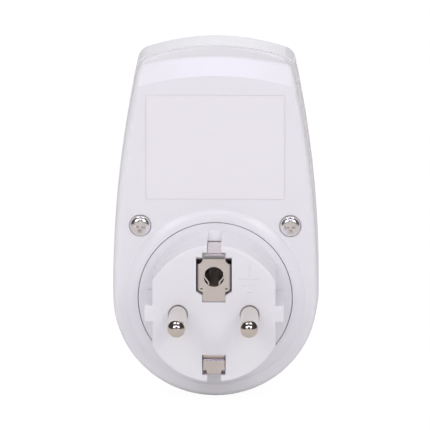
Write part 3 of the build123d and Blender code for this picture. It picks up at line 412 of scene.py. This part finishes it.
def rounded_box(width, height, radius, centre, steps=6):
    """The outline of a rectangle with round corners."""
    points = []
    for turn, (side, up) in enumerate(CORNERS):
        corner = (centre[0] + side * (width / 2 - radius), centre[1] + up * (height / 2 - radius))
        for step in range(steps + 1):
            angle = math.radians(90 * (turn + step / steps))
            points.append((corner[0] + radius * math.cos(angle), corner[1] + radius * math.sin(angle)))
    return points


def bar(start, end, width, steps=8):
    """The outline of a straight bar with round ends."""
    heading = math.atan2(end[1] - start[1], end[0] - start[0])
    points = []
    for (x, z), first in ((end, -90), (start, 90)):
        for step in range(steps + 1):
            angle = heading + math.radians(first + 180 * step / steps)
            points.append((x + width / 2 * math.cos(angle), z + width / 2 * math.sin(angle)))
    return points


def keep(name, mesh, body, slot, finish=None):
    """An object that rides on a body, with the slot's finish or one of its own."""
    piece = bpy.data.objects.new(name, mesh)
    scene.collection.objects.link(piece)
    mesh.materials.append(finishes[finish or slot])
    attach(piece, body)
    return piece


# Case screws
def recess_arm(length, width):
    """One arm of the crossed recess, narrowing as it goes down."""
    rings = []
    for y, share in (
        (HEAD_HEIGHT + RECESS_OVERRUN, RECESS_TOP_SHARE),
        (HEAD_HEIGHT - RECESS_DEPTH, RECESS_FLOOR_SHARE),
    ):
        rings.append([(side * length / 2 * share, y, up * width / 2 * share) for side, up in CORNERS])
    return skinned("arm", rings)


def thread_radius(down, turn):
    """The shank's radius at a distance below the head and a share of a turn."""
    wave = abs(2 * ((down / THREAD_PITCH - turn) % 1.0) - 1)
    cut = min(1.0, max(0.0, (down - THREAD_START) / THREAD_PITCH))
    tip = min(1.0, TIP_SHARE + (1 - TIP_SHARE) * (SHANK_LENGTH - down) / THREAD_PITCH)
    return (SHANK_RADIUS - cut * (SHANK_RADIUS - THREAD_ROOT) * (1 - wave**2)) * tip


def threaded_shank():
    """A shank with a true helical thread, from the head's underside along -Y."""
    turns = [step / THREAD_SEGMENTS for step in range(THREAD_SEGMENTS)]
    rings = []
    for row in range(THREAD_ROWS + 1):
        down = SHANK_LENGTH * row / THREAD_ROWS
        rings.append([around(thread_radius(down, turn), -down, turn) for turn in turns])
    return skinned("shank", rings)


def case_screws():
    """Both screws as one mesh, with their recesses turned differently."""
    arms = [recess_arm(RECESS_LENGTH, RECESS_WIDTH), recess_arm(RECESS_WIDTH, RECESS_LENGTH)]
    screw = joined([carved(turned(HEAD_PROFILE, HEAD_SEGMENTS), arms), threaded_shank()])
    both = []
    for side, turn in ((-1, LEFT_RECESS_TURN), (1, RIGHT_RECESS_TURN)):
        place = Vector((side * SCREW_X, -(REAR_FACE + SCREW_SINK), SCREW_Z)) * MM
        one = screw.copy()
        one.transform(Matrix.Rotation(math.radians(turn), 4, "Y"))
        one.transform(Matrix.Translation(place))
        both.append(one)
    return joined(both)


screws = keep("crossed_case_screws", case_screws(), "adapter", "screw")
for polygon in screws.data.polygons:
    polygon.use_smooth = True
edge_split = screws.modifiers.new("edges", "EDGE_SPLIT")
edge_split.split_angle = math.radians(SHARP_EDGE)
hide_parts("case_screws")

# Bare label plate in its field
label_outline = rounded_box(
    LABEL_WIDTH - LABEL_GAP,
    LABEL_HEIGHT - LABEL_GAP,
    LABEL_CORNER,
    (0, LABEL_LOW + LABEL_HEIGHT / 2),
)
label = slab(label_outline, REAR_FACE + LABEL_RECESS, LABEL_THICKNESS)
keep("label_plate", label, "adapter", "case", "label")

# Earth sign
sign_lines = [((SIGN_X, SIGN_STEM_TOP), (SIGN_X, SIGN_STEM_END))]
for reach, rise in SIGN_BARS:
    sign_lines.append(((SIGN_X - reach, rise), (SIGN_X + reach, rise)))
sign_pieces = [
    slab(bar(start, end, SIGN_BAR), 0, SIGN_HEIGHT, bar(start, end, SIGN_RIDGE))
    for start, end in sign_lines
]
keep("earth_sign", joined(sign_pieces), "adapter", "case")


# Brightness wedge and pointer
def knob_point(radius, share):
    """A point round the knob at a share of its turn."""
    angle = math.radians(KNOB_REST - KNOB_TURN * share)
    return (radius * math.cos(angle), KNOB_RISE + radius * math.sin(angle))


def wedge_ring(share):
    """The four corners of the wedge's section at a share of the knob's turn."""
    width = WEDGE_THIN + (WEDGE_WIDE - WEDGE_THIN) * share
    inner = knob_point(WEDGE_RADIUS, share)
    outer = knob_point(WEDGE_RADIUS + width, share)
    low = FRONT_FACE
    high = FRONT_FACE + PRINT_HEIGHT
    places = ((inner, low), (inner, high), (outer, high), (outer, low))
    return [(x, -depth, z) for (x, z), depth in places]


wedge = skinned("wedge", [wedge_ring(step / WEDGE_STEPS) for step in range(WEDGE_STEPS + 1)])
keep("brightness_wedge", wedge, "adapter", "case", "print")

pointer_reach = (POINTER_LENGTH - POINTER_WIDTH) / 2
pointer_start = knob_point(POINTER_CIRCLE - pointer_reach, 0)
pointer_end = knob_point(POINTER_CIRCLE + pointer_reach, 0)
pointer = slab(
    bar(pointer_start, pointer_end, POINTER_WIDTH - PAINT_GAP),
    KNOB_FACE - POINTER_DEPTH + PAINT_HEIGHT,
    PAINT_HEIGHT,
)
keep("pointer_paint", pointer, "knob", "knob", "print")

# Floor: white to the camera, pale paper in reflections, and catching a soft shadow
FLOOR_REACH = 4
FLOOR_GAP = 0.0002
FLOOR_COLOUR = (0.86, 0.86, 0.88, 1.0)
FLOOR_IN_REFLECTIONS = (0.73, 0.68, 0.64, 1.0)
FLOOR_ROUGHNESS = 0.6
FLOOR_SPECULAR = 0.1
FLOOR_GLOW = 1.06
FLOOR_GLOW_SHARE = 0.9


def floor_finish():
    """The floor's material."""
    material, shader = new_material("floor_white")
    tree = material.node_tree
    node_input(shader, "Roughness", FLOOR_ROUGHNESS)
    node_input(shader, "Specular IOR Level", FLOOR_SPECULAR)
    glow = tree.nodes.new("ShaderNodeEmission")
    node_input(glow, "Strength", FLOOR_GLOW)
    path = tree.nodes.new("ShaderNodeLightPath")
    tint = colour_mix(tree, path.outputs["Is Glossy Ray"], FLOOR_COLOUR, FLOOR_IN_REFLECTIONS)
    tree.links.new(tint, shader.inputs["Base Color"])
    share = tree.nodes.new("ShaderNodeMath")
    share.operation = "MULTIPLY"
    share.inputs[1].default_value = FLOOR_GLOW_SHARE
    tree.links.new(path.outputs["Is Camera Ray"], share.inputs[0])
    mix = shader_mix(tree, share.outputs["Value"], shader.outputs["BSDF"], glow.outputs["Emission"])
    tree.links.new(mix, tree.nodes["Material Output"].inputs["Surface"])
    return material


floor_level = cad_box[0][2] - FLOOR_GAP
floor_shape = bmesh.new()
floor_corners = [(side * FLOOR_REACH, way * FLOOR_REACH, floor_level) for side, way in CORNERS]
floor_shape.faces.new([floor_shape.verts.new(corner) for corner in floor_corners])
floor_mesh = finished("floor", floor_shape)
floor_mesh.materials.append(floor_finish())
floor = bpy.data.objects.new("floor", floor_mesh)
scene.collection.objects.link(floor)

# World: white to the camera, soft light from all round, and a dark studio above pale paper in reflections
SKY_COLOUR = (1.0, 0.99, 1.0, 1.0)
SKY_AT_HORIZON = 0.68
SKY_OVERHEAD = 0.24
BACKDROP_COLOUR = (1.0, 1.0, 1.0, 1.0)
BACKDROP_STRENGTH = 1.0
PAPER_COLOUR = (0.64, 0.64, 0.65, 1.0)
STUDIO_COLOUR = (0.05, 0.042, 0.04, 1.0)
PAPER_EDGE = 0.03

# Two ranges of the direction's Y, and how high the paper reaches at the start and end of each
PAPER_RISES = [(-0.92, -0.8, 0.36, 0.0), (0.5, 0.9, 0.0, 0.14)]


def studio_world():
    """The world, as the camera, reflections and diffuse light see it."""
    world = bpy.data.worlds.new("studio")
    world.use_nodes = True
    tree = world.node_tree
    direction = tree.nodes.new("ShaderNodeTexCoord")
    split = tree.nodes.new("ShaderNodeSeparateXYZ")
    tree.links.new(direction.outputs["Generated"], split.inputs["Vector"])
    sky = tree.nodes["Background"]
    node_input(sky, "Color", SKY_COLOUR)
    sky_strength = moved_range(tree, split.outputs["Z"], 0.0, 1.0, SKY_AT_HORIZON, SKY_OVERHEAD)
    tree.links.new(sky_strength, sky.inputs["Strength"])
    above = split.outputs["Z"]
    for start, end, first, last in PAPER_RISES:
        less = tree.nodes.new("ShaderNodeMath")
        less.operation = "SUBTRACT"
        tree.links.new(above, less.inputs[0])
        tree.links.new(moved_range(tree, split.outputs["Y"], start, end, first, last), less.inputs[1])
        above = less.outputs["Value"]
    over_paper = moved_range(tree, above, -PAPER_EDGE, PAPER_EDGE, 0.0, 1.0)
    reflected = tree.nodes.new("ShaderNodeBackground")
    tree.links.new(colour_mix(tree, over_paper, PAPER_COLOUR, STUDIO_COLOUR), reflected.inputs["Color"])
    backdrop = tree.nodes.new("ShaderNodeBackground")
    node_input(backdrop, "Color", BACKDROP_COLOUR)
    node_input(backdrop, "Strength", BACKDROP_STRENGTH)
    path = tree.nodes.new("ShaderNodeLightPath")
    glossy = path.outputs["Is Glossy Ray"]
    lit = shader_mix(tree, glossy, sky.outputs["Background"], reflected.outputs["Background"])
    seen = shader_mix(tree, path.outputs["Is Camera Ray"], lit, backdrop.outputs["Background"])
    tree.links.new(seen, tree.nodes["World Output"].inputs["Surface"])
    return world


scene.world = studio_world()

# Lamps: name, place from the middle of the object, width, height, power, colour and mirrored or not
WHITE = (1.0, 1.0, 1.0)
LAVENDER = (0.68, 0.63, 1.0)
WARM_WHITE = (1.0, 0.99, 0.9)
MIDDLE = Vector((0.0, -0.02, 0.02))
LAMPS = [
    ("front_left", (-0.55, 1.0, 0.65), 0.46, 0.46, 2.5, WHITE, True),
    ("top_left", (-0.36, 0.06, 1.12), 0.45, 0.45, 1.5, WHITE, True),
    ("front_right", (0.55, 1.0, 0.65), 0.46, 0.46, 2.5, WHITE, True),
    ("top_right", (0.36, 0.06, 1.12), 0.45, 0.45, 1.5, WHITE, True),
    ("front_panel", (0.0, 1.03, 0.98), 0.5, 0.22, 1.6, LAVENDER, True),
    ("rear_light", (0.2, -1.35, 0.6), 0.9, 0.6, 1.8, WHITE, True),
    ("plug_fill", (0.0, 1.5, 0.22), 1.0, 0.5, 1.7, WARM_WHITE, False),
    ("knob_fill", (0.0, -1.5, 0.22), 1.0, 0.5, 6.0, WHITE, False),
]

for name, offset, width, height, power, colour, mirrored in LAMPS:
    lamp = bpy.data.lights.new(name, "AREA")
    lamp.shape = "RECTANGLE"
    lamp.size = width
    lamp.size_y = height
    lamp.energy = power
    lamp.color = colour
    light = bpy.data.objects.new(name, lamp)
    light.location = MIDDLE + Vector(offset)
    light.rotation_euler = (-Vector(offset)).to_track_quat("-Z", "Y").to_euler()
    light.visible_glossy = mirrored
    scene.collection.objects.link(light)

# Camera: its azimuth, height over the plug's axis and lens are fitted to the photograph
VIEW_AZIMUTH = math.radians(181.03)
VIEW_HEIGHT = math.radians(11.99)
VIEW_DISTANCE = 1.5
VIEW_TARGET = Vector((0.00006, -0.02, 0.022695))
FOCAL_PIXELS = 5604.4
PHOTO_PIXELS = 430
SENSOR_WIDTH = 36.0
NEAREST = 0.05
FARTHEST = 50.0

camera_data = bpy.data.cameras.new("camera")
camera_data.sensor_width = SENSOR_WIDTH
camera_data.lens = SENSOR_WIDTH * FOCAL_PIXELS / PHOTO_PIXELS
camera_data.clip_start = NEAREST
camera_data.clip_end = FARTHEST
camera = bpy.data.objects.new("camera", camera_data)
towards = Vector(
    (
        math.sin(VIEW_AZIMUTH) * math.cos(VIEW_HEIGHT),
        -math.cos(VIEW_AZIMUTH) * math.cos(VIEW_HEIGHT),
        math.sin(VIEW_HEIGHT),
    )
)
camera.location = VIEW_TARGET + towards * VIEW_DISTANCE
camera.rotation_euler = (-towards).to_track_quat("-Z", "Y").to_euler()
scene.collection.objects.link(camera)
scene.camera = camera

scene.view_settings.view_transform = "Standard"
